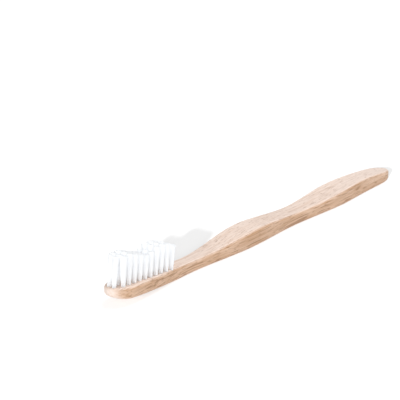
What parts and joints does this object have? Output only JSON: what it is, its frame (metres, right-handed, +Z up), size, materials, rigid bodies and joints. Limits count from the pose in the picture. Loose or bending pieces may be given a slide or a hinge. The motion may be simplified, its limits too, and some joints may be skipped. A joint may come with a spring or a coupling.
{
  "type": "manual toothbrush",
  "caption": "Manual toothbrush with a waved solid bamboo handle and a tilted, drilled head that carries trimmed white nylon tufts held by brass strips.",
  "frame": {"origin": "middle of the brush's length and width, on the plane that the flat back rests on", "axes": "+X from the toe of the head to the butt of the handle, +Z up the way the bristles point, Y across"},
  "size_m": [0.19, 0.0126, 0.0183],
  "materials": {
    "bamboo": "sanded bare bamboo, dull",
    "brass": "sheared flat strip",
    "nylon": "fine white filaments"
  },
  "bodies": {
    "root": {"bamboo_handle": "bamboo", "brass_strips": "brass", "tuft_toe_1": "nylon", "tuft_toe_2": "nylon", "tuft_row1_01": "nylon", "tuft_row1_02": "nylon", "tuft_row1_03": "nylon", "tuft_row1_04": "nylon", "tuft_row1_05": "nylon", "tuft_row1_06": "nylon", "tuft_row1_07": "nylon", "tuft_row1_08": "nylon", "tuft_row1_09": "nylon", "tuft_row1_10": "nylon", "tuft_row2_01": "nylon", "tuft_row2_02": "nylon", "tuft_row2_03": "nylon", "tuft_row2_04": "nylon", "tuft_row2_05": "nylon", "tuft_row2_06": "nylon", "tuft_row2_07": "nylon", "tuft_row2_08": "nylon", "tuft_row2_09": "nylon", "tuft_row2_10": "nylon", "tuft_row3_01": "nylon", "tuft_row3_02": "nylon", "tuft_row3_03": "nylon", "tuft_row3_04": "nylon", "tuft_row3_05": "nylon", "tuft_row3_06": "nylon", "tuft_row3_07": "nylon", "tuft_row3_08": "nylon", "tuft_row3_09": "nylon", "tuft_row3_10": "nylon"}
  },
  "joints": []
}
